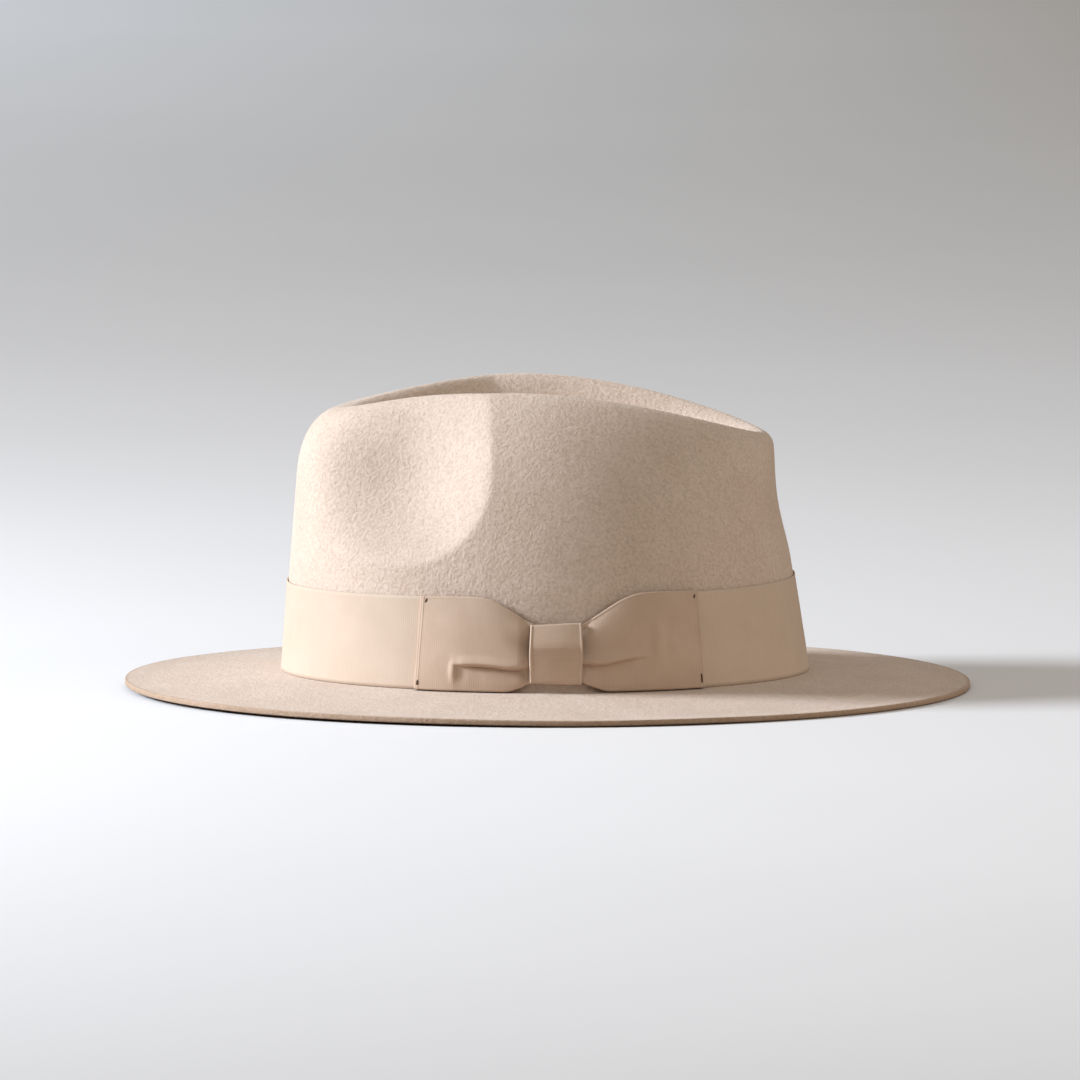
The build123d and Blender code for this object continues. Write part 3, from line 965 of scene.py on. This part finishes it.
end_tacks = []
for x in (ribbon_end_front - 2, ribbon_end_back + 2):
    for z in (12.5, 19.5, 26.5, 33.5):
        end_tacks.append(tack(x, z, 2.4, 1.0))
end_obj = thread("band_end_tacks", settle(np.array(end_tacks)), 0.18, tack_thread)
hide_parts("hatband_end_stitches")


# ---------------------------------------------------------------------------
# Inside: sweatband, reed, stitches, lining
# ---------------------------------------------------------------------------


def make_sweatband():
    """Leather strip with rounded edges and a pressed line below the upper one."""
    line_height = 33.4
    t = all_round(480)
    z = np.linspace(sweatband_bottom, sweatband_top, 30)
    line = 0.15 * hump(z, line_height, 1.0)[:, None]
    outer = on_wall(t[None, :], z[:, None], sweatband_depth)
    inner = on_wall(t[None, :], z[:, None], sweatband_depth + leather_thickness - line)
    top = (outer[-1] + inner[-1]) / 2 + straight_up * 0.25
    low = (outer[0] + inner[0]) / 2 - straight_up * 0.2
    rows = np.concatenate([outer, top[None], inner[::-1], low[None]])
    return closed_rings("sweatband_leather", settle(rows), leather)


sweat_obj = make_sweatband()
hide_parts("sweatband")


def swept_round(name, section, material):
    """Closed section swept round the head opening: radius and angle of each of its points."""
    t = all_round(420)
    a, b = crown_half_length - reed_depth, crown_half_width - reed_depth
    centre = np.stack([a * np.cos(t) + crown_x, b * np.sin(t), reed_height + 0 * t], -1)
    out = np.stack([np.cos(t) / a, np.sin(t) / b, 0 * t], -1)
    out /= np.linalg.norm(out, axis=1, keepdims=True)
    rows = []
    for radius, angle in section:
        rows.append(centre + radius * (math.cos(angle) * out + math.sin(angle) * straight_up))
    return closed_rings(name, settle(np.array(rows)), material)


def make_reed():
    sides = 12
    section = [(reed_radius, 2 * math.pi * k / sides) for k in range(sides)]
    return swept_round("reed_rod", section, reed_plastic)


reed_obj = make_reed()
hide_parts("sweatband_reed")


def make_tape():
    """Tape folded round the reed: out round the outside and back round the inside, open at the top."""
    angles = np.linspace(math.radians(112), math.radians(428), 18)
    section = [(tape_outside, angle) for angle in angles]
    section += [(tape_inside, angle) for angle in angles[::-1]]
    return swept_round("reed_sleeve", section, tape_cloth)


tape_obj = make_tape()
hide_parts("reed_tape")


def inside_point(t, z, out):
    """Point that stands out into the hat from the face of the sweatband."""
    return on_wall(t, z, sweatband_depth + leather_thickness + out)


def make_sweat_stitches():
    """Row of short stitches near the lower edge of the sweatband."""
    q = np.linspace(-1, 1, 7)
    paths = []
    for i in range(sweatband_stitches):
        mid = 2 * np.pi * i / sweatband_stitches
        half = 1.9 / np.hypot(crown_half_length * np.sin(mid), crown_half_width * np.cos(mid))
        paths.append(inside_point(mid + half * q, stitch_height + 0.25 * q, 0.16 - 0.25 * q ** 4))
    return thread("sweatband_stitches", settle(np.array(paths)), 0.2, seam_thread, 6)


stitch_obj = make_sweat_stitches()
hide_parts("sweatband_stitching")


def back_turn(y):
    """Direction of the back of the crown wall at a distance to one side of the middle."""
    return np.arcsin(y / crown_half_width)


def make_back_seam():
    """Zigzag over the butted ends of the sweatband."""
    q = np.linspace(0, 1, 7)
    stand_out = 0.18 - 0.3 * (2 * q - 1) ** 4
    paths = []
    for i in range(9):
        side = 1.5 if i % 2 else -1.5
        low = small_bow_height + 6 + 1.9 * i
        paths.append(inside_point(back_turn(side * (2 * q - 1)), low + 1.4 * q, stand_out))
    return thread("back_seam_thread", settle(np.array(paths)), 0.2, seam_thread, 6)


seam_obj = make_back_seam()
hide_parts("sweatband_back_seam")


def make_small_bow():
    """Small flat bow over the foot of the back seam, puffed in both wings."""
    q, v = np.meshgrid(np.linspace(-1, 1, 60), np.linspace(-1, 1, 24))
    y = 13 * q
    z = small_bow_height + (1.2 + 1.9 * np.abs(q) ** 0.9) * v
    puff = 0.35 + 0.75 * np.sin(np.pi * np.abs(q)) ** 0.8
    out = puff * (1 - 0.75 * v ** 2) + 0.12 * np.sin(7 * v) * (1 - np.abs(q))
    out = 0.15 + np.maximum(out, 0.02)
    front = inside_point(back_turn(y), z, out + 0.35)
    back = inside_point(back_turn(y), z, out)
    uv = np.stack([y * mm, z * mm], -1)
    return strip_solid("small_bow", settle(front), settle(back), inner_ribbon, uv)


small_bow = make_small_bow()
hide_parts("sweatband_bow_loops")


def make_small_knot():
    """Wrap round the middle of the small bow."""
    q, v = np.meshgrid(np.linspace(-1, 1, 18), np.linspace(-1, 1, 22))
    y = 2.2 * q
    z = small_bow_height + 2.6 * v
    out = 1.5 - 1.0 * v ** 4 - 0.3 * q ** 4
    front = inside_point(back_turn(y), z, out + 0.35)
    back = inside_point(back_turn(y), z, out)
    uv = np.stack([z * mm, y * mm], -1)
    return strip_solid("small_bow_wrap", settle(front), settle(back), inner_ribbon, uv)


small_knot = make_small_knot()
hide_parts("sweatband_bow_knot")


def make_tab():
    """Blank card tucked behind the sweatband, to one side of the back seam."""
    t = back_turn(np.linspace(12, 24, 14))[None, :]
    z = np.linspace(tab_bottom, tab_bottom + tab_height, 18)[:, None]
    front = on_wall(t, z, 2.62)
    back = on_wall(t, z, 2.45)
    return strip_solid("size_card_tab", settle(front), settle(back), card)


tab_obj = make_tab()
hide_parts("size_tab")


def make_lining_side():
    """Satin side strip that stands off the crown, with gathers that deepen upwards."""
    t = all_round(640)
    z = np.linspace(lining_bottom, lining_top - 0.4, int(56 * quality) + 8)
    tt, zz = np.meshgrid(t, z)
    gather = np.zeros_like(tt)
    for count, phase in ((37, 0.3), (53, 1.7), (83, 0.9)):
        gather += np.sin(count * tt + phase + 0.8 * np.sin(3 * tt + phase))
    gather *= 0.16 * smooth(40, 76, zz)
    slack = np.interp(zz, [lining_bottom, plain_wall_top, lining_top], [2.35, 2.5, 4.0])
    depth = slack + np.maximum(gather, -0.4) + 0.3 * smooth(38, 60, zz)
    outer = on_wall(tt, zz, depth)
    inner = on_wall(tt, zz, depth + 0.28)
    return closed_rings("lining_wall", settle(np.concatenate([outer, inner[::-1]])), satin)


lining_obj = make_lining_side()
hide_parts("lining_side")


def make_lining_tip():
    """Satin top piece under the dent, slightly domed and rippled."""
    half_thickness = straight_up * 0.14
    t = all_round(320)
    rim = on_wall(t, lining_top - 0.8, 4.9)
    centre = rim.mean(axis=0)
    upper, lower = [], []
    for s in np.concatenate([[0], np.linspace(0.004, 0.96, 40)]):
        row = rim + (centre - rim) * s
        ripple = 0.35 * np.sin(9 * t + 2.0) * s * (1 - s) * 3
        dome = 0.9 * math.sin(math.pi * s) ** 0.8
        row[:, 2] = lining_top - 1.5 + (ripple + dome) * 0.8
        upper.append(row + half_thickness)
        lower.append(row - half_thickness)
    return capped_rings("lining_top_piece", settle(np.array(upper[::-1] + lower)), satin)


tip_obj = make_lining_tip()
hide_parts("lining_tip")

pieces = [felt_obj, band_obj, lobes[0][0], lobes[1][0], knot_obj, corner_obj, end_obj, sweat_obj, reed_obj,
          tape_obj, stitch_obj, seam_obj, small_bow, small_knot, tab_obj, lining_obj, tip_obj]
for piece in pieces:
    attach(piece, "root")


# ---------------------------------------------------------------------------
# Studio: pale table, a key light from the front of the hat and a faint one from its back
# ---------------------------------------------------------------------------


def make_stage():
    mesh = bpy.data.meshes.new("studio_floor")
    half, below = 6.0, -0.0002
    corners = [(-half, -half, below), (half, -half, below), (half, half, below), (-half, half, below)]
    mesh.from_pydata(corners, [], [(0, 1, 2, 3)])
    floor = bpy.data.objects.new("studio_floor", mesh)
    bpy.context.scene.collection.objects.link(floor)
    n = Nodes("studio_floor")
    at = n.coords("Object")
    tone = n.noise(at, 2.0, 2.0)
    base = n.ramp(tone, "Fac", [(0.3, srgb(231, 230, 229)), (0.7, srgb(234, 233, 232))])
    # The table is seen pale but throws little light back up at the hat
    path = n.add("ShaderNodeLightPath")
    seen = n.mix((path, "Is Camera Ray"), srgb(158, 146, 132), (base, "Color"))
    n.link(seen, mixed, n.shader, "Base Color")
    # Far behind the hat the table gives off some light, more towards the lit side
    spot = n.add("ShaderNodeSeparateXYZ")
    n.link(at, 0, spot, 0)
    far = n.math("MULTIPLY_ADD", (spot, "Y"), 0.32, -0.30, clamp=True)
    side = n.math("MULTIPLY_ADD", (spot, "X"), -1.35, 0.5, clamp=True)
    glow = n.math("MULTIPLY", (far, 0), (side, 0))
    shade = n.ramp(glow, 0, [(0.0, (0, 0, 0)), (1.0, (0.23, 0.27, 0.32))])
    n.link(shade, "Color", n.shader, "Emission Color")
    n.surface(emission=1.0, roughness=0.9, specular=0.1)
    mesh.materials.append(n.mat)


def make_sky():
    """Soft light from all round, warm and weak at the horizon and stronger above."""
    world = bpy.data.worlds.new("studio")
    bpy.context.scene.world = world
    world.use_nodes = True
    tree = world.node_tree
    tree.nodes.clear()
    out = tree.nodes.new("ShaderNodeOutputWorld")
    back = tree.nodes.new("ShaderNodeBackground")
    coord = tree.nodes.new("ShaderNodeTexCoord")
    split = tree.nodes.new("ShaderNodeSeparateXYZ")
    ramp = tree.nodes.new("ShaderNodeValToRGB")
    tree.links.new(coord.outputs["Generated"], split.inputs[0])
    tree.links.new(split.outputs["Z"], ramp.inputs["Fac"])
    tree.links.new(ramp.outputs["Color"], back.inputs["Color"])
    tree.links.new(back.outputs[0], out.inputs[0])
    horizon, above = ramp.color_ramp.elements
    horizon.position = 0.0
    horizon.color = (0.50, 0.44, 0.39, 1)
    above.position = 0.6
    above.color = (1.35, 1.29, 1.22, 1)
    back.inputs["Strength"].default_value = 0.32


def area_light(name, location, target, size, power, colour):
    data = bpy.data.lights.new(name, "AREA")
    data.shape = "RECTANGLE"
    data.size, data.size_y = size
    data.energy = power
    data.color = colour
    obj = bpy.data.objects.new(name, data)
    obj.location = location
    obj.rotation_euler = (Vector(target) - Vector(location)).to_track_quat("-Z", "Y").to_euler()
    bpy.context.scene.collection.objects.link(obj)


def make_camera():
    """Nearly level view of the bow side from a long way off."""
    distance = 6.0
    rise = math.radians(6.1)
    view_width = 0.4244
    sensor_width = 36.0
    aim = Vector((-0.00295, 0.0, 0.0576))
    data = bpy.data.cameras.new("camera")
    data.sensor_width = sensor_width
    data.lens = sensor_width * distance / view_width
    data.clip_end = 50.0
    camera = bpy.data.objects.new("camera", data)
    camera.location = (aim.x, -distance * math.cos(rise), 0.0024 + distance * math.sin(rise))
    camera.rotation_euler = (aim - camera.location).to_track_quat("-Z", "Y").to_euler()
    bpy.context.scene.collection.objects.link(camera)
    bpy.context.scene.camera = camera


make_stage()
make_sky()
hat_middle = (0, 0, 0.05)
area_light("key", (-1.9, -0.17, 0.86), hat_middle, (0.6, 0.6), 73.0, (0.89, 0.96, 1.07))
area_light("right_bounce", (1.6, -0.6, 0.55), hat_middle, (0.9, 0.7), 7.5, (1.0, 0.90, 0.80))
make_camera()
bpy.context.scene.view_settings.view_transform = "Standard"
